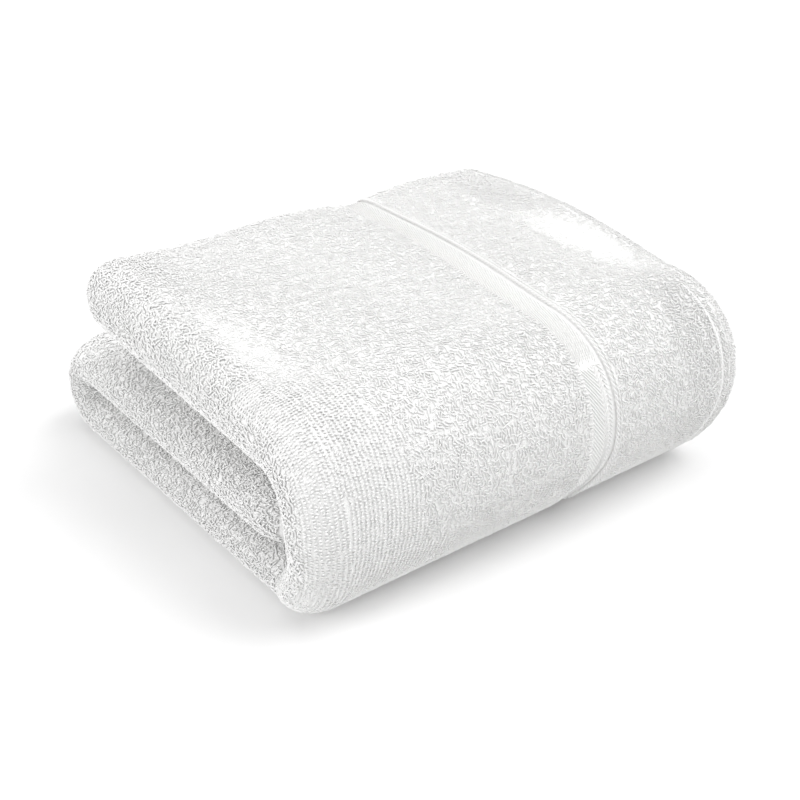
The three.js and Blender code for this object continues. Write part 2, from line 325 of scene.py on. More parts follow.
def make_piece(name, points, faces, material, uv=None):
    """points in mm, faces as rows of corners, uv per corner of the faces."""
    points = points + SHIFT
    points[:, 2] = np.maximum(points[:, 2], FLOOR_GAP)
    mesh = bpy.data.meshes.new(name)
    corners = faces.shape[1]
    mesh.vertices.add(len(points))
    mesh.vertices.foreach_set("co", (points * MM).astype(np.float32).ravel())
    mesh.loops.add(faces.size)
    mesh.loops.foreach_set("vertex_index", faces.astype(np.int32).ravel())
    mesh.polygons.add(len(faces))
    mesh.polygons.foreach_set("loop_start", np.arange(0, faces.size, corners, dtype=np.int32))
    mesh.polygons.foreach_set("use_smooth", np.ones(len(faces), dtype=bool))
    if uv is not None:
        layer = mesh.uv_layers.new(name="cloth")
        layer.data.foreach_set("uv", uv.astype(np.float32).ravel())
    mesh.update(calc_edges=True)
    mesh.materials.append(material)
    piece = bpy.data.objects.new(name, mesh)
    bpy.context.collection.objects.link(piece)
    print(name, len(faces) * (corners - 2), "triangles")
    return piece

# %% [markdown]
# White terry is cotton: matt, a little translucent, and so bright that most of its
# shading comes from the shadows between the loops. The loops are real geometry here,
# so their material only needs the fuzz of the yarn: a fine noise as bump, and a faint
# sheen for the fibre ends. The ground cloth is a flat weave, whose threads are far too
# many to model, so waves on the cloth's own UV map raise them. Flat weaves have no
# shadows between loops, and would look too bright in the pile's white, so they get one
# that is a little darker: painted shade that stands in for those shadows, used on the
# ground cloth and the border.

# %% Cotton materials
COTTON = (0.90, 0.898, 0.894, 1.0)
# a little darker than COTTON: painted shade for the shadows that the flat weaves lack
FLAT_COTTON_WITH_PAINTED_SHADE = (0.88, 0.878, 0.874, 1.0)
ROUGHNESS, SPECULAR, SHEEN_ROUGHNESS = 0.95, 0.2, 0.6
LOOP_SHEEN, FLAT_SHEEN = 0.15, 0.05
FUZZ_SCALE, FUZZ_DETAIL, FUZZ_DEPTH = 2600.0, 2.0, 0.0002
THREAD_SCALE, THREAD_WAVER, THREAD_DEPTH = 0.5, 0.5, 0.0002
BUMP_STRENGTH = 0.5


def cotton(name, sheen, colour=COTTON):
    material = bpy.data.materials.new(name)
    material.use_nodes = True
    shader = material.node_tree.nodes["Principled BSDF"]
    shader.inputs["Base Color"].default_value = colour
    shader.inputs["Roughness"].default_value = ROUGHNESS
    shader.inputs["Specular IOR Level"].default_value = SPECULAR
    shader.inputs["Sheen Weight"].default_value = sheen
    shader.inputs["Sheen Roughness"].default_value = SHEEN_ROUGHNESS
    return material


def add_node(material, kind, **values):
    node = material.node_tree.nodes.new(kind)
    for key, value in values.items():
        if key in node.inputs:
            node.inputs[key].default_value = value
        else:
            setattr(node, key, value)
    return node


def link(material, source, target):
    material.node_tree.links.new(source, target)


def add_bump(material, height, distance):
    bump = add_node(material, "ShaderNodeBump", Distance=distance, Strength=BUMP_STRENGTH)
    link(material, height, bump.inputs["Height"])
    shader = material.node_tree.nodes["Principled BSDF"]
    link(material, bump.outputs["Normal"], shader.inputs["Normal"])


loop_cotton = cotton("loop_cotton", LOOP_SHEEN)
place_of = add_node(loop_cotton, "ShaderNodeTexCoord")
fuzz = add_node(loop_cotton, "ShaderNodeTexNoise", Scale=FUZZ_SCALE, Detail=FUZZ_DETAIL)
link(loop_cotton, place_of.outputs["Object"], fuzz.inputs["Vector"])
add_bump(loop_cotton, fuzz.outputs["Fac"], FUZZ_DEPTH)

ground_cotton = cotton("ground_cotton", FLAT_SHEEN, FLAT_COTTON_WITH_PAINTED_SHADE)
threads = add_node(ground_cotton, "ShaderNodeUVMap", uv_map="cloth")
wave_look = {"Scale": THREAD_SCALE, "Distortion": THREAD_WAVER}
weft = add_node(ground_cotton, "ShaderNodeTexWave", bands_direction="X", **wave_look)
warp = add_node(ground_cotton, "ShaderNodeTexWave", bands_direction="Y", **wave_look)
crossed = add_node(ground_cotton, "ShaderNodeMath", operation="MAXIMUM")
for wave, socket in ((weft, 0), (warp, 1)):
    link(ground_cotton, threads.outputs["UV"], wave.inputs["Vector"])
    link(ground_cotton, wave.outputs["Fac"], crossed.inputs[socket])
add_bump(ground_cotton, crossed.outputs["Value"], THREAD_DEPTH)
border_cotton = cotton("border_cotton", FLAT_SHEEN, FLAT_COTTON_WITH_PAINTED_SHADE)
print("materials:", [m.name for m in bpy.data.materials])

# %% [markdown]
# The ground cloth is the sheet itself, with both of its faces, all twelve layers and
# its four edges. Each row of points is one station of the letter fold, and each column
# is one place on the way from hem to hem: in along the second ply, round the hidden
# fold, out, round the right fold, in again, round the closed left end and out along the
# ply that shows. Loops will stand on it, so it lies a little below the towel's skin, and
# less so underneath, where the towel's weight has pressed its pile flat.

# %% The way through the plies
STOPS_FROM, STOPS_TO, STOP_SPACING = 26.0, 154.5, 5.33
STOPS = np.arange(STOPS_FROM, STOPS_TO, STOP_SPACING)
HEM_WIDTH, HEM_THIN, HEM_STEP = 9.0, 0.7, 1.2
HEM_FROM_DEG = 56.0
GROOVE_RIGHT = BORDER_RIGHT + 2.6
BORDER_STOPS = [  # x, share of the thickness that is left there
    (BORDER_LEFT - 0.4, 1.0),
    (BORDER_LEFT + 0.4, 0.5),
    (BORDER_LEFT + 3.0, 0.5),
    (BORDER_LEFT + 5.5, 0.5),
    (BORDER_LEFT + 8.0, 0.5),
    (BORDER_RIGHT - 0.3, 0.5),
    (BORDER_RIGHT - 0.1, 0.4),
    (BORDER_RIGHT + 0.4, 0.4),
    (BORDER_RIGHT + 1.5, 0.6),
    (GROOVE_RIGHT - 0.3, 0.7),
    (GROOVE_RIGHT, 1.0),
]


class Route:
    """Columns of the ply route at every station: place, outward normal, thickness."""

    def __init__(self):
        self.columns = []

    def add(self, x, t, nx, nt, thin=1.0, skin=False):
        shape = np.shape(x)
        row = [np.broadcast_to(v, shape).astype(float) for v in (x, t, nx, nt, thin, skin)]
        self.columns.append(np.stack(row, -1))

    def bend(self, x, t, rx, rt, start, end, steps, side=1, skin=False, hem_below=None):
        for angle in np.linspace(start, end, steps):
            nx, nt = np.cos(angle) / rx, np.sin(angle) / rt
            size = np.hypot(nx, nt) * side
            is_hem = hem_below is not None and angle < hem_below
            thin = HEM_THIN if is_hem else 1.0
            self.add(x + rx * np.cos(angle), t + rt * np.sin(angle), nx / size, nt / size, thin, skin)

    def run(self, t, face, leftward, bordered, skin=False):
        plain = STOPS[(STOPS < BORDER_LEFT - 1) | (STOPS > GROOVE_RIGHT + 1)]
        stops = sorted([(x, 1.0) for x in plain] + BORDER_STOPS)
        for x, thin in reversed(stops) if leftward else stops:
            self.add(np.full(np.shape(t), x), t, 0.0, face, thin if bordered else 1.0, skin)


def ply_route(rows):
    stack, left, right, lip, edge = rows[:, 4:9].T
    outer = (stack - PLY) / 2
    pitch = (stack - PLY) / 3
    left = left + CORNER_RETREAT * edge**2
    right = right - CORNER_RETREAT * edge**2
    right_fold = right - RIGHT_FOLD_INSET - pitch / 2
    wrap = left + lip
    inner = np.maximum(wrap, left + PLY + FOLD_CLEARANCE + pitch / 2 + PLY / 2)
    curl = right - OPEN_END_ROUND
    half = np.pi / 2
    route = Route()
    for from_end in (0, HEM_WIDTH):
        route.add(right - HEM_INSET - from_end, pitch / 2, 0.0, -1.0, HEM_THIN)
    route.add(right - HEM_INSET - HEM_WIDTH - HEM_STEP, pitch / 2, 0.0, -1.0)
    route.run(pitch / 2, -1.0, leftward=True, bordered=True)
    route.bend(inner, 0.0, pitch / 2, pitch / 2, half, 3 * half, steps=7, side=-1)
    route.run(-pitch / 2, 1.0, leftward=False, bordered=False)
    route.bend(right_fold, -pitch, pitch / 2, pitch / 2, half, -half, steps=9, skin=True)
    route.run(-outer, -1.0, leftward=True, bordered=False, skin=True)
    route.bend(wrap, 0.0, lip - PLY / 2, outer, 3 * half, half, steps=21, skin=True)
    route.run(outer, 1.0, leftward=False, bordered=True, skin=True)
    hem = {"steps": 16, "skin": True, "hem_below": np.radians(HEM_FROM_DEG)}
    route.bend(curl, 0.0, OPEN_END_ROUND - PLY / 2, outer, half, np.radians(HEM_CURL_DEG), **hem)
    return np.stack(route.columns, 1)


print("places from hem to hem:", ply_route(PATH).shape[1])

# %% [markdown]
# The mesh is a grid of those stations and places. Each place has a point on both faces
# of the cloth, half a ply to either side of its middle, and the four edges are closed
# by strips. The UV map is the cloth laid flat, in millimetres.

# %% The ground cloth
GROUND_SINK, FLOOR_SINK = 0.47, 0.15
FLOOR_FACING = (0.6, 0.95)
SELVEDGE_WIDTH, SELVEDGE_EDGE, SELVEDGE_THIN = 3.0, 1.0, 0.7
MESH_ROWS = {"middle": 26, "back": 14, "bottom": 22, "front": 34, "top": 40}


def ground_rows():
    """Stations for the mesh, closer together at the folds and next to the free edges."""
    s = np.concatenate([np.linspace(*reach[name], rows) for name, rows in MESH_ROWS.items()])
    inside_edge, outside_edge = reach["middle"][0], reach["top"][1]
    free = [inside_edge + SELVEDGE_WIDTH, outside_edge - SELVEDGE_WIDTH, outside_edge - SELVEDGE_EDGE]
    return np.unique(np.concatenate([s, free]))


def ground_cloth():
    s = ground_rows()
    rows = stations(s)
    route = ply_route(rows)
    x, t, nx, nt, thin, skin = np.moveaxis(route, -1, 0)
    count, across = x.shape
    facing_down = -(rows[:, 3:4] / np.hypot(rows[:, 2:3], rows[:, 3:4])) * nt
    sink = mix(GROUND_SINK, FLOOR_SINK, smooth(facing_down, *FLOOR_FACING))
    half = PLY / 2 * thin
    free = np.zeros((count, 1), bool)
    free[[0, -1]] = True
    half = np.where(free, np.minimum(half, PLY / 2 * SELVEDGE_THIN), half)
    face_a = np.where((skin > 0) & (thin == 1.0) & ~free, half - sink, half)
    sides = []
    for offset in (face_a, -half):
        sides.append(place(np.broadcast_to(s[:, None], x.shape), x + nx * offset, t + nt * offset))
    points = np.stack(sides, 2)
    length = np.hypot(np.diff(x, axis=1), np.diff(t, axis=1))
    u = np.concatenate([np.zeros((count, 1)), np.cumsum(length, 1)], 1)
    uv = np.stack([u, np.broadcast_to(s[:, None], u.shape)], -1)
    uv = np.repeat(uv[:, :, None], 2, 2).reshape(-1, 2)
    index = np.arange(count * across * 2).reshape(count, across, 2)
    a, b = index[:, :, 0], index[:, :, 1]

    def quads(p, q, r, w):
        return np.stack([p, q, r, w], -1).reshape(-1, 4)

    faces = np.concatenate([
        quads(a[:-1, :-1], a[:-1, 1:], a[1:, 1:], a[1:, :-1]),
        quads(b[:-1, :-1], b[1:, :-1], b[1:, 1:], b[:-1, 1:]),
        quads(a[:-1, 0], a[1:, 0], b[1:, 0], b[:-1, 0]),
        quads(a[:-1, -1], b[:-1, -1], b[1:, -1], a[1:, -1]),
        quads(a[0, :-1], b[0, :-1], b[0, 1:], a[0, 1:]),
        quads(a[-1, :-1], a[-1, 1:], b[-1, 1:], b[-1, :-1]),
    ])
    points = points.reshape(-1, 3)
    return make_piece("towel_cloth", points, faces, ground_cotton, uv[faces])


cloth = ground_cloth()

# %% [markdown]
# Terry loops are pulled over and pressed together, so from a step away they form a maze
# of little worms, each lying close beside its neighbours. Such a maze is the pattern of
# the crests where many waves of one length cross from all sides. Each loop is therefore
# a short bow of yarn that is laid along such a crest: a seed point is moved up to the
# nearest crest, and the bow follows the crest to both sides.

# %% A maze for the yarn to follow
YARN_SPACING, TUFT_SPACING = 1.0, 6.5
LEAST_CURVE = 1e-3
FOLLOW_STEPS = 2
rng = np.random.default_rng(20)


class Maze:
    """Flat waves of nearly one length in all directions, in millimetres."""

    def __init__(self, wavelength, spread=0.26, count=44):
        angle = rng.uniform(0, 2 * np.pi, count)
        size = 2 * np.pi / (wavelength * rng.uniform(1 - spread, 1 + spread, count))
        self.k = np.stack([size * np.cos(angle), size * np.sin(angle)], 1)
        self.phase = rng.uniform(0, 2 * np.pi, count)
        self.bend = np.stack([self.k[:, 0] ** 2, self.k[:, 0] * self.k[:, 1], self.k[:, 1] ** 2], 1)

    def height(self, places):
        waves = np.cos(places @ self.k.T + self.phase)
        return waves.sum(-1) / np.sqrt(len(self.phase) / 2)

    def step_to_crest(self, places, limit=0.15):
        """One step across towards the nearest crest, and the direction along it."""
        phase = places @ self.k.T + self.phase
        slope = -np.sin(phase) @ self.k
        xx, xy, yy = (-np.cos(phase) @ self.bend).T
        angle = 0.5 * np.arctan2(2 * xy, xx - yy)
        along = np.stack([np.cos(angle), np.sin(angle)], -1)
        across = np.stack([-along[:, 1], along[:, 0]], -1)
        curvature = (xx + yy) / 2 - np.hypot((xx - yy) / 2, xy)
        rise = (slope * across).sum(-1)
        step = np.where(curvature < 0, -rise / np.minimum(curvature, -LEAST_CURVE), np.sign(rise) * limit)
        return places + across * np.clip(step, -limit, limit)[:, None], along

    def crests(self, places, steps):
        for _ in range(steps):
            places, along = self.step_to_crest(places)
        return places, along

    def follow(self, places, lengths):
        """Five points on the crest through each place: two on either side of it."""
        middle, along = self.crests(places, 1)
        sides = []
        for sign in (1, -1):
            at, ahead = middle, along * sign
            for _ in range(2):
                at, new = self.crests(at + ahead * (lengths / 4)[:, None], FOLLOW_STEPS)
                ahead = new * np.sign((new * ahead).sum(-1, keepdims=True))
                sides.append(at)
        return np.stack([sides[3], sides[2], middle, sides[0], sides[1]], 1)


yarn_maze = Maze(YARN_SPACING)
tuft_waves = Maze(TUFT_SPACING, spread=0.45)
print("waves in the maze:", len(yarn_maze.phase))

# %% [markdown]
# The maze is flat, and the towel's skin is not. So each stretch of skin is unrolled: one
# coordinate is the distance walked along the fold, and the other is the way across it.
# Each of the next functions is such a stretch. It turns the two coordinates into a place
# in the stack of plies and the direction in which the skin looks there.

# %% Stretches of the skin that carry loops
def flat_face(s, x):
    rows = stations(s)
    return x, rows[..., 4] / 2, 0 * x, 1 + 0 * x


def under_face(s, x):
    rows = stations(s)
    return x, -rows[..., 4] / 2, 0 * x, -1 + 0 * x


def left_lip(s, angle):
    stack, left, _, lip, edge = np.moveaxis(stations(s)[..., 4:9], -1, 0)
    start = left + CORNER_RETREAT * edge**2 + lip
    nx, nt = np.cos(angle) / lip, np.sin(angle) / (stack / 2)
    size = np.hypot(nx, nt)
    return start + lip * np.cos(angle), stack / 2 * np.sin(angle), nx / size, nt / size


def right_end(s, angle):
    stack, _, right, _, edge = np.moveaxis(stations(s)[..., 4:9], -1, 0)
    start = right - CORNER_RETREAT * edge**2 - OPEN_END_ROUND
    nx, nt = np.cos(angle) / OPEN_END_ROUND, np.sin(angle) / (stack / 2)
    size = np.hypot(nx, nt)
    return start + OPEN_END_ROUND * np.cos(angle), stack / 2 * np.sin(angle), nx / size, nt / size


def right_fold(s, angle):
    stack, _, right, _, edge = np.moveaxis(stations(s)[..., 4:9], -1, 0)
    pitch = (stack - PLY) / 3
    radius = (pitch + PLY) / 2
    start = right - CORNER_RETREAT * edge**2 - RIGHT_FOLD_INSET - pitch / 2
    return start + radius * np.cos(angle), -pitch + radius * np.sin(angle), np.cos(angle), np.sin(angle)


def skin_point(shape, s, q, sink=0.0):
    x, t, nx, nt = shape(s, q)
    return place(s.ravel(), (x - nx * sink).ravel(), (t - nt * sink).ravel()).reshape(*s.shape, 3)


def on_flat(s, x):
    """Between the left lip and the right curl of the stack."""
    left, right, lip, edge = np.moveaxis(stations(s)[..., 5:9], -1, 0)
    retreat = CORNER_RETREAT * edge**2
    return (x > left + retreat + lip) & (x < right - retreat - OPEN_END_ROUND)


print("top panel's left edge:", round(float(skin_point(left_lip, PATH_S[-1:], np.pi)[0, 0]), 1), "mm")

# %% [markdown]
# Now the maze can be laid on a stretch. Seeds are strewn on the flat plane, moved up to
# the crests and thinned until each cell of a square grid keeps one. A bow grows from
# every seed that is left, and its places are turned back into the stretch's coordinates.

# %% Laying the maze
WALK_STEP = 0.4
SEED_PITCH, SEED_SHAKE, SEED_STEPS = 0.75, 0.3, 8


def everywhere(s, q):
    return s > 0


def walked_along(shape, low, high, q):
    """Places s and the distance walked to each of them on the skin."""
    dense = np.linspace(low, high, int((high - low) / WALK_STEP))
    points = skin_point(shape, dense, np.full_like(dense, q))
    return dense, np.concatenate([[0], np.cumsum(np.linalg.norm(np.diff(points, axis=0), axis=1))])


def lay_maze(
    shape, s_range, q_range, q_size=1.0, kept=everywhere, cell=1.13, lengths=(1.8, 2.9), maze=yarn_maze
):
    """s and q of the five points of every bow. q_size is the skin's length per unit of q."""
    dense, walked = walked_along(shape, *s_range, sum(q_range) / 2)
    low = np.array([0, q_range[0] * q_size])
    high = np.array([walked[-1], q_range[1] * q_size])
    axes = [np.arange(a, b, cell * SEED_PITCH) for a, b in zip(low, high)]
    grid = np.stack(np.meshgrid(*axes), -1).reshape(-1, 2)
    seeds, _ = maze.crests(grid + rng.uniform(-SEED_SHAKE, SEED_SHAKE, grid.shape), SEED_STEPS)
    seeds = seeds[np.all((seeds > low) & (seeds < high), 1)]
    seeds = rng.permutation(seeds)
    _, chosen = np.unique(np.floor(seeds / cell).astype(int), axis=0, return_index=True)
    seeds = seeds[chosen]
    seeds = seeds[kept(np.interp(seeds[:, 0], walked, dense), seeds[:, 1] / q_size)]
    bows = maze.follow(seeds, rng.uniform(*lengths, len(seeds)))
    return np.interp(bows[..., 0], walked, dense), bows[..., 1] / q_size


print("a seed every", SEED_PITCH, "of a cell, moved in", SEED_STEPS, "steps")

# %% [markdown]
# Low on the front and beside the closed end the loops were combed by the fold and stand
# in plain rows, as they left the loom: columns about 1.6 mm apart with a loop every
# 1.1 mm. These are straight short bows, which turn and lean only a little.

# %% Loops in rows
COLUMN_PITCH, LOOP_PITCH = 1.6, 1.1
LOOP_SHAKE, COLUMN_SHAKE = 0.1, 0.15
LENGTH_RANGE = (0.8, 1.25)
ROW_PLACES = np.array([-1.0, -0.7, 0.0, 0.7, 1.0])


def lay_rows(
    shape, columns, s_range, kept=everywhere, spacing=LOOP_PITCH, length=1.0, wild=0.15, q_size=1.0
):
    """s and q of the five points of every bow, in columns along the fold."""
    s_all, q_all = [], []
    for q in columns:
        dense, walked = walked_along(shape, *s_range, q)
        at = np.arange(rng.uniform(0, spacing), walked[-1], spacing)
        s_all.append(np.interp(at + rng.normal(0, LOOP_SHAKE, len(at)), walked, dense))
        q_all.append(np.full_like(at, q))
    s, q = np.concatenate(s_all), np.concatenate(q_all)
    chosen = kept(s, q)
    s, q = s[chosen], q[chosen]
    turn = rng.uniform(-np.pi, np.pi, len(s)) * wild
    half = length / 2 * rng.uniform(*LENGTH_RANGE, len(s))
    out = half[:, None] * ROW_PLACES
    q = q + rng.normal(0, COLUMN_SHAKE, len(q)) / q_size
    return s[:, None] + out * np.sin(turn)[:, None], q[:, None] + out * np.cos(turn)[:, None] / q_size


def on_side(laid, test):
    """The bows whose middle passes the test."""
    s, q = laid
    chosen = test(s[:, 2], q[:, 2])
    return s[chosen], q[chosen]


print("columns", COLUMN_PITCH, "mm apart, a loop every", LOOP_PITCH, "mm")

# %% [markdown]
# Each bow becomes three rings of three points with a buried tip at both ends, that is
# eighteen triangles. Its two ends dip into the cloth and its middle stands up. Broad
# slow waves make some tufts stand higher than others.

# %% Bows of yarn as a mesh
YARN, YARN_RANGE, FLATNESS = 0.35, (0.88, 1.12), 0.55
DIP = np.array([-0.35, 0.72, 1.0, 0.72, -0.35])
CURL, CURL_MIDDLE = 0.13, 0.4
PRESS, PRESS_FACING = 0.75, (0.45, 0.9)
TUFT_LIFT, TUFT_SINK, TUFT_SLANT = 0.07, 0.06, (0.7, 1.0)
HEIGHT_SPREAD = 0.5
CORNERS = np.radians([90, 210, 330])
BOW_POINTS = 11


def unit(v):
    return v / np.linalg.norm(v, axis=-1, keepdims=True)


def bow_triangles():
    faces = []
    for k in range(3):
        nxt = (k + 1) % 3
        faces.append((0, 1 + k, 1 + nxt))
        faces.append((BOW_POINTS - 1, 7 + nxt, 7 + k))
        for ring in (0, 3):
            a, b = 1 + ring + k, 1 + ring + nxt
            faces.append((a, b + 3, b))
            faces.append((a, a + 3, b + 3))
    return np.array(faces)


def bow_heights(height, middle, facing):
    """Heights of the bows: higher in the tufts, and pressed flat where they face the table."""
    pressed = 1 - PRESS * smooth(-facing, *PRESS_FACING)
    tufts = tuft_waves.height(middle[:, :2] + middle[:, 2:] * TUFT_SLANT)
    spread = min(HEIGHT_SPREAD, height)
    own = height * rng.uniform(1 - spread, 1 + spread, len(middle))
    return (own + np.maximum(TUFT_LIFT * tufts, -TUFT_SINK)) * pressed


def bow_points(shape, laid, height, wild, overhang=0.0, thickness=YARN):
    """Every bow as three rings and two buried tips, in mm."""
    s, q = laid
    count = len(s)
    at = skin_point(shape, s, q, PILE)
    outward = unit(skin_point(shape, s[:, 2], q[:, 2]) - at[:, 2])
    heading = unit(at[:, 4] - at[:, 0])
    normal = unit(outward - (outward * heading).sum(-1, keepdims=True) * heading)
    heights = bow_heights(height, at[:, 2], normal[:, 2])
    rise = np.where(DIP > 0, DIP * heights[:, None], DIP)
    lean = rng.normal(0, wild, count)
    sideways = np.cross(normal, heading)
    side = sideways * lean[:, None] + np.array([1.0, 0, 0]) * overhang
    chord = np.linalg.norm(at[:, 4] - at[:, 0], axis=1)
    curl = (rng.normal(0, CURL, count) * chord)[:, None] * (np.linspace(-1, 1, 5) ** 2 - CURL_MIDDLE)
    centre = at + rise[..., None] * normal[:, None] + curl[..., None] * sideways[:, None]
    centre += np.clip(DIP, 0, 1)[None, :, None] * side[:, None]
    heading = unit(centre[:, 2:] - centre[:, :-2])
    up = unit(normal[:, None] - (normal[:, None] * heading).sum(-1, keepdims=True) * heading)
    out = np.cross(heading, up)
    yarn = (thickness * rng.uniform(*YARN_RANGE, count))[:, None, None]
    rings = [centre[:, 1:4] + yarn * (FLATNESS * np.sin(a) * up + np.cos(a) * out) for a in CORNERS]
    rings = np.stack(rings, 2).reshape(count, 9, 3)
    return np.concatenate([centre[:, :1], rings, centre[:, 4:]], 1)


def loops_piece(name, *parts):
    """Each part is a stretch of skin, the bows laid on it and their look in BOWS."""
    points = np.concatenate([bow_points(shape, laid, *BOWS[look]) for shape, laid, look in parts])
    faces = (bow_triangles()[None] + BOW_POINTS * np.arange(len(points))[:, None, None]).reshape(-1, 3)
    return make_piece(name, points.reshape(-1, 3), faces, loop_cotton)


print("a bow has", len(bow_triangles()), "triangles")

# %% [markdown]
# The front and the top carry the maze up to the border on its left, and from the border
# to the open end on its right. `combed` says where the rows take its place. The first
# row beside the border is longer and leans over its edge, as pile does.

# %% The front and the top
# Height, how much a bow leans, and where they differ its overhang and half its width
BOWS = {
    "flat": (0.18, 0.06),
    "left rows": (0.26, 0.06, 0.0, 0.42),
    "right rows": (0.2, 0.06, 0.0, 0.42),
    "border edge": (0.26, 0.08, 0.35, 0.42),
    "top lip": (0.36, 0.1, 0.0, 0.4),
    "low lip": (0.4, 0.1, 0.0, 0.4),
    "lip rows": (0.3, 0.06, 0.0, 0.42),
    "open end": (0.35, 0.1),
    "right fold": (0.5, 0.2),
    "back": (0.5, 0.3),
}
PILE_UNDER_FOLD = 14
front_foot, shoulder = reach["front"]
foot = front_foot - PILE_UNDER_FOLD
free_edge = reach["top"][1] - SELVEDGE_WIDTH
CLOSED_END, OPEN_END = 3, 185
MAZE_LEFT, MAZE_RIGHT = BORDER_LEFT - 1.5, BORDER_RIGHT + 2.9
ROWS_LEFT, ROWS_LEFT_END, ROWS_RIGHT = BORDER_LEFT - 2.4, 5, BORDER_RIGHT + 3.4
ROWS_PAST_SHOULDER = 30
EDGE_ROW, EDGE_SPACING, EDGE_LENGTH, EDGE_TURN = BORDER_LEFT - 1.1, 1.3, 1.8, 0.06
COMBED_HEIGHT, COMBED_REACH, COMBED_TO = 28, 52, (24, 52)
EDGE_WANDER = 5
combed_edge = front_foot + COMBED_HEIGHT
row_waves = Maze(17.0, spread=0.4)


def combed(s, x):
    """Low on the front everywhere, and up to the shoulder beside the closed end."""
    wander = EDGE_WANDER * row_waves.height(np.stack([s, x], -1))
    return on_flat(s, x) & (s + wander < combed_edge + COMBED_REACH * (1 - smooth(x, *COMBED_TO)))


def mazy(s, x):
    return on_flat(s, x) & ~combed(s, x)


left_maze = lay_maze(flat_face, (foot, free_edge), (CLOSED_END, MAZE_LEFT), kept=mazy)
right_maze = lay_maze(flat_face, (foot, free_edge), (MAZE_RIGHT, OPEN_END), kept=mazy)
row_range = (foot, shoulder + ROWS_PAST_SHOULDER)
left_columns = np.arange(ROWS_LEFT, ROWS_LEFT_END, -COLUMN_PITCH)
left_rows = lay_rows(flat_face, left_columns, row_range, combed)
right_columns = np.arange(ROWS_RIGHT, OPEN_END, COLUMN_PITCH)
right_rows = lay_rows(flat_face, right_columns, row_range, combed)
edge_look = (EDGE_SPACING, EDGE_LENGTH, EDGE_TURN)
border_edge = lay_rows(flat_face, [EDGE_ROW], (foot, free_edge), on_flat, *edge_look)
front_maze = on_side(left_maze, lambda s, x: s < shoulder)
top_maze = on_side(left_maze, lambda s, x: s >= shoulder)
loop_pieces = [
    loops_piece("loops_front_left", (flat_face, front_maze, "flat"), (flat_face, left_rows, "left rows")),
    loops_piece("loops_top_left", (flat_face, top_maze, "flat"), (flat_face, border_edge, "border edge")),
    loops_piece("loops_right", (flat_face, right_maze, "flat"), (flat_face, right_rows, "right rows")),
]

# %% [markdown]
# The closed left ends are rounded lips, where the pile is squeezed and its maze curlier
# and higher. The open right end has rows down to the hem, which is woven without loops.
# The back and the inner folds are seen from afar or through a slit, so longer bows
# further apart cover them.

# %% The lips, the open end and the back
LIP_RANGE = (np.radians(92), np.radians(272))
LIP_SIZE, END_SIZE, FOLD_SIZE = 13.0, 11.0, 5.0  # mm of skin per radian
LIP_CELL, LOW_LIP_CELL = 1.2, 1.35
LIP_ROWS_DEG = np.arange(94, 158, 7.0)
LIP_ROWS_PAST_SHOULDER, LIP_ROWS_MARGIN_DEG = 12, 3
END_ANGLES = np.radians(np.arange(84, HEM_FROM_DEG, -8.0))
FOLD_ANGLES = np.radians(np.arange(60, -91, -21.0))
WIDE_COLUMNS = np.arange(6.0, OPEN_END, 1.7 * COLUMN_PITCH)
WIDE_PITCH, WIDE_LENGTH, WIDE_TURN = 1.9 * LOOP_PITCH, 1.9, 1.0
BARE_SELVEDGE, UNDER_TOP = 3.5, 8
BACK_ENDS, UNDER_ENDS = (30, 165), (24, 165)
lip_maze = Maze(1.05, spread=0.32)
curly = {"lengths": (2.0, 3.2), "maze": lip_maze}
bare_selvedge = reach["middle"][0] + BARE_SELVEDGE
back_end = reach["bottom"][0] + PILE_UNDER_FOLD
lip_rows_end = shoulder + LIP_ROWS_PAST_SHOULDER


def off_rows(s, angle):
    """The part of the lips that isn't combed into rows."""
    return (s > lip_rows_end) | (angle > np.radians(LIP_ROWS_DEG[-1] + LIP_ROWS_MARGIN_DEG))


def behind_top(s, x):
    """The part of the middle panel that lies open behind the top panel, and its ends."""
    y = stations(s)[..., 0]
    return on_flat(s, x) & ((y > TOP_REACH - UNDER_TOP) | (x < BACK_ENDS[0]) | (x > BACK_ENDS[1]))


def near_ends(s, x):
    return on_flat(s, x) & ((x < UNDER_ENDS[0]) | (x > UNDER_ENDS[1]))


def wide_rows(shape, low, high, kept):
    return lay_rows(shape, WIDE_COLUMNS, (low, high), kept, WIDE_PITCH, WIDE_LENGTH, WIDE_TURN)


lip_rows = lay_rows(left_lip, np.radians(LIP_ROWS_DEG), (front_foot, lip_rows_end), q_size=LIP_SIZE)
lip_top = lay_maze(
    left_lip, (front_foot, free_edge), LIP_RANGE, LIP_SIZE, off_rows, cell=LIP_CELL, **curly
)
low_lip = lay_maze(
    left_lip, (bare_selvedge, reach["bottom"][1]), LIP_RANGE, LIP_SIZE, cell=LOW_LIP_CELL, **curly
)
end_rows = lay_rows(right_end, END_ANGLES, (bare_selvedge, free_edge), q_size=END_SIZE)
fold_rows = lay_rows(
    right_fold, FOLD_ANGLES, (bare_selvedge, free_edge), spacing=WIDE_PITCH, q_size=FOLD_SIZE
)
loop_pieces += [
    loops_piece("loops_lip_top", (left_lip, lip_top, "top lip"), (left_lip, lip_rows, "lip rows")),
    loops_piece("loops_lip_low", (left_lip, low_lip, "low lip")),
    loops_piece("loops_right_end", (right_end, end_rows, "open end"), (right_fold, fold_rows, "right fold")),
    loops_piece(
        "loops_back",
        (flat_face, wide_rows(flat_face, bare_selvedge, back_end, behind_top), "back"),
        (under_face, wide_rows(under_face, bare_selvedge, free_edge, near_ends), "back"),
    ),
]

# %% [markdown]
# The woven border has no loops. Its fine ribs are raised by a few tenths of a
# millimetre, and so are the cords beside it. Thin tubes with few sides are enough for
# that, laid with the same map and sunk into the cloth for the most part. Their ends are
# closed and sink a little deeper.

# %% Thin tubes along the skin
LIFT_STEP = 0.3


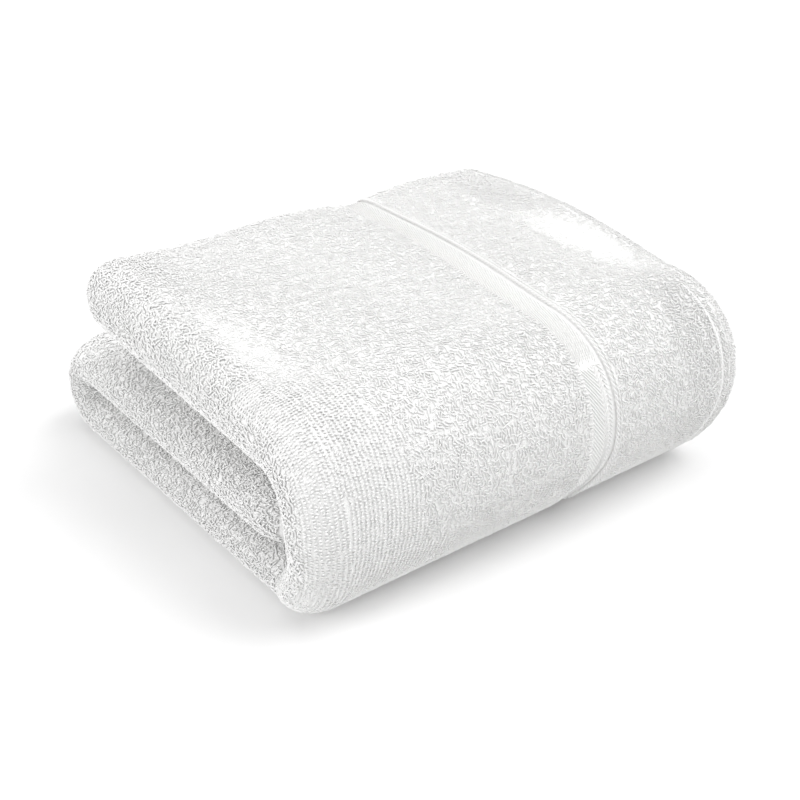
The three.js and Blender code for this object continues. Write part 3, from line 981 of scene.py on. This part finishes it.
def tube_faces(rings, sides):
    ring, side = np.meshgrid(np.arange(rings - 1), np.arange(sides), indexing="ij")
    a = ring * sides + side
    b = ring * sides + (side + 1) % sides
    faces = [np.stack([a, a + sides, b + sides], -1), np.stack([a, b + sides, b], -1)]
    fan = np.array([(0, k, k + 1) for k in range(1, sides - 1)])
    last = (rings - 1) * sides
    return np.concatenate([*[f.reshape(-1, 3) for f in faces], fan, last + fan[:, ::-1]])


def tube(s, x, sink, radius, sides):
    """A thin tube along the skin through the places s, x."""
    path = skin_point(flat_face, s, x, sink)
    lift = unit(skin_point(flat_face, s, x, sink - LIFT_STEP) - path)
    heading = unit(np.gradient(path, axis=0))
    across = unit(np.cross(heading, lift))
    angle = np.linspace(0, 2 * np.pi, sides, endpoint=False)
    ring = np.cos(angle)[None, :, None] * across[:, None] + np.sin(angle)[None, :, None] * lift[:, None]
    return (path[:, None] + radius * ring).reshape(-1, 3), tube_faces(len(s), sides)


def joined(tubes):
    points, faces, count = [], [], 0
    for p, f in tubes:
        points.append(p)
        faces.append(f + count)
        count += len(p)
    return np.concatenate(points), np.concatenate(faces)


print("a tube of two rings with three sides has", len(tube_faces(2, 3)), "triangles")

# %% [markdown]
# On the front the border is a herringbone: each rib crosses it in three slanting arms,
# and near the foot the pattern turns back. On the top the ribs lie in one long slant.
# A twisted cord and a finer one run along the border's right side, where the loops
# begin again. Each is two strands that wind round each other. Further right the edge of
# the turned-in hem shows through the pile as a soft ridge.

# %% The border's ribs, its cords and the hem's ridge
RIB_PITCH, TOP_RIB_PITCH, RIB_STEP = 1.18, 2.0, 0.65
RIB_RADIUS, RIB_SINK, END_SINK = 0.34, 0.9, 0.3
RIB_ARMS = [(0.3, 0.0), (6.2, -5.9), (8.0, -4.1), (10.6, -6.7)]  # x from the border's left, shift
TOP_ARM = [(0.3, 0.0), (10.6, 23.0)]
RIB_SIDES, STRAND_SIDES, RIDGE_SIDES = 3, 5, 8
border_foot, turn_back = front_foot - 4, front_foot + 22
border_top, border_end = shoulder - 16, reach["top"][1] - 2
RIB_ZONES = [  # from s, to s, arms, slant, pitch
    (border_foot, turn_back, RIB_ARMS, -1, RIB_PITCH),
    (turn_back, border_top, RIB_ARMS, 1, RIB_PITCH),
    (border_top, border_end, TOP_ARM, 1, TOP_RIB_PITCH),
]
CORD_TWIST, CORD_STEP = 2.8, 0.3
CORDS = [  # x, sink, radius of a strand, its distance from the cord's middle
    (BORDER_RIGHT + 0.75, 0.4, 0.32, 0.36),
    (BORDER_RIGHT + 2.05, 0.35, 0.24, 0.2),
]
RIDGE_INSET, RIDGE_RADIUS, RIDGE_STEP = 15.5, 0.75, 1.5
RIDGE_SINK, RIDGE_FADE = 0.7, 0.5
ridge_start, fade_start, fade_end = combed_edge - 30, shoulder - 25, shoulder + 10


def herringbone():
    ribs = []
    for low, high, arms, slant, pitch in RIB_ZONES:
        arm_x, arm_s = np.array(arms).T
        x = np.arange(arm_x[0], arm_x[-1], RIB_STEP)
        shift = slant * np.interp(x, arm_x, arm_s)
        margin = np.ptp(shift) + 1
        for s0 in np.arange(low - margin, high + margin, pitch):
            s = s0 + shift
            inside = (s > low) & (s < high)
            if inside.sum() > 2:
                sink = np.full(inside.sum(), RIB_SINK)
                sink[[0, -1]] += END_SINK
                ribs.append(tube(s[inside], BORDER_LEFT + x[inside], sink, RIB_RADIUS, RIB_SIDES))
    return joined(ribs)


def border_cords():
    s = np.arange(border_foot, border_end, CORD_STEP)
    strands = []
    for x, sink, radius, offset in CORDS:
        for start in (0, np.pi):
            turn = start + 2 * np.pi * s / CORD_TWIST
            around = x + offset * np.cos(turn), sink - offset * np.sin(turn)
            strands.append(tube(s, *around, radius, STRAND_SIDES))
    return joined(strands)


def hem_ridge():
    """The soft ridge over the hem's turned-in edge, which sinks away towards the back."""
    s = np.arange(ridge_start, free_edge, RIDGE_STEP)
    right = stations(s)[:, 6]
    sink = RIDGE_SINK + RIDGE_FADE * smooth(s, fade_start, fade_end)
    return tube(s, right - RIDGE_INSET, sink, RIDGE_RADIUS, RIDGE_SIDES)


border = [
    make_piece("border_ribs", *herringbone(), border_cotton),
    make_piece("border_cords", *border_cords(), border_cotton),
    make_piece("hem_ridge", *hem_ridge(), border_cotton),
]

# %% [markdown]
# A photograph of such a towel is made on a white table with very soft light from all
# sides. A large disc stands for the table. Four sun lamps with wide discs, from above,
# from the left, from the right and a weak one from the front, cast the soft shadows,
# and the white world fills them. Light that falls between loops of white cotton comes
# out again after many bounces, so more of them are allowed than is usual. The camera
# stands where the photographer's did: 28.6 degrees above the table, turned 38 degrees
# towards the closed end.

# %% Table, light and camera
CAMERA_PLACE = (-0.2650, -0.3495, 0.2602)
CAMERA_PITCH_DEG, CAMERA_AZIMUTH_DEG = 28.6, -38.17
LENS_MM = 58.5
SKY_STRENGTH = 0.34
LAMPS = [  # name, azimuth, elevation, spread in degrees, strength
    ("overhead", 0, 86, 60, 1.27),
    ("left", -102, 20, 50, 1.6),
    ("right", 45, 50, 45, 1.45),
    ("front", -12, 14, 50, 0.15),
]
TABLE_RADIUS = 6.0
TABLE_COLOUR, TABLE_ROUGHNESS = (0.92, 0.92, 0.92, 1.0), 0.9
DIFFUSE_BOUNCES, ALL_BOUNCES = 12, 14

bpy.ops.object.select_all(action="DESELECT")
bpy.ops.mesh.primitive_circle_add(vertices=96, radius=TABLE_RADIUS, fill_type="NGON", location=(0, 0, 0))
table = bpy.context.object
table.name = "table"
table_white = bpy.data.materials.new("table_white")
table_white.use_nodes = True
table_shader = table_white.node_tree.nodes["Principled BSDF"]
table_shader.inputs["Base Color"].default_value = TABLE_COLOUR
table_shader.inputs["Roughness"].default_value = TABLE_ROUGHNESS
table_shader.inputs["Specular IOR Level"].default_value = 0.0
table.data.materials.append(table_white)

world = bpy.data.worlds.new("studio")
bpy.context.scene.world = world
world.use_nodes = True
world.node_tree.nodes["Background"].inputs["Color"].default_value = (1.0, 1.0, 1.0, 1.0)
world.node_tree.nodes["Background"].inputs["Strength"].default_value = SKY_STRENGTH


def soft_lamp(name, azimuth_deg, elevation_deg, spread_deg, strength):
    """A wide far lamp. Azimuth 0 stands in front of the towel and 90 at its right."""
    light = bpy.data.lights.new(name, "SUN")
    light.angle = np.radians(spread_deg)
    light.energy = strength
    lamp = bpy.data.objects.new(name, light)
    lamp.rotation_euler = (np.radians(90 - elevation_deg), 0, np.radians(azimuth_deg))
    bpy.context.collection.objects.link(lamp)


for row in LAMPS:
    soft_lamp(*row)

camera = bpy.data.objects.new("camera", bpy.data.cameras.new("camera"))
camera.data.lens = LENS_MM
camera.location = CAMERA_PLACE
camera.rotation_euler = (np.radians(90 - CAMERA_PITCH_DEG), 0, np.radians(CAMERA_AZIMUTH_DEG))
bpy.context.collection.objects.link(camera)
bpy.context.scene.camera = camera
bpy.context.scene.view_settings.view_transform = "Standard"
bpy.context.scene.cycles.diffuse_bounces = DIFFUSE_BOUNCES
bpy.context.scene.cycles.max_bounces = ALL_BOUNCES
print("camera at", CAMERA_PLACE)

# %% [markdown]
# All of them ride on the towel's only body and stand for its one solid.

# %% What each piece stands for
for piece in [cloth, *loop_pieces, *border]:
    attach(piece, "root")
    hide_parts("towel")
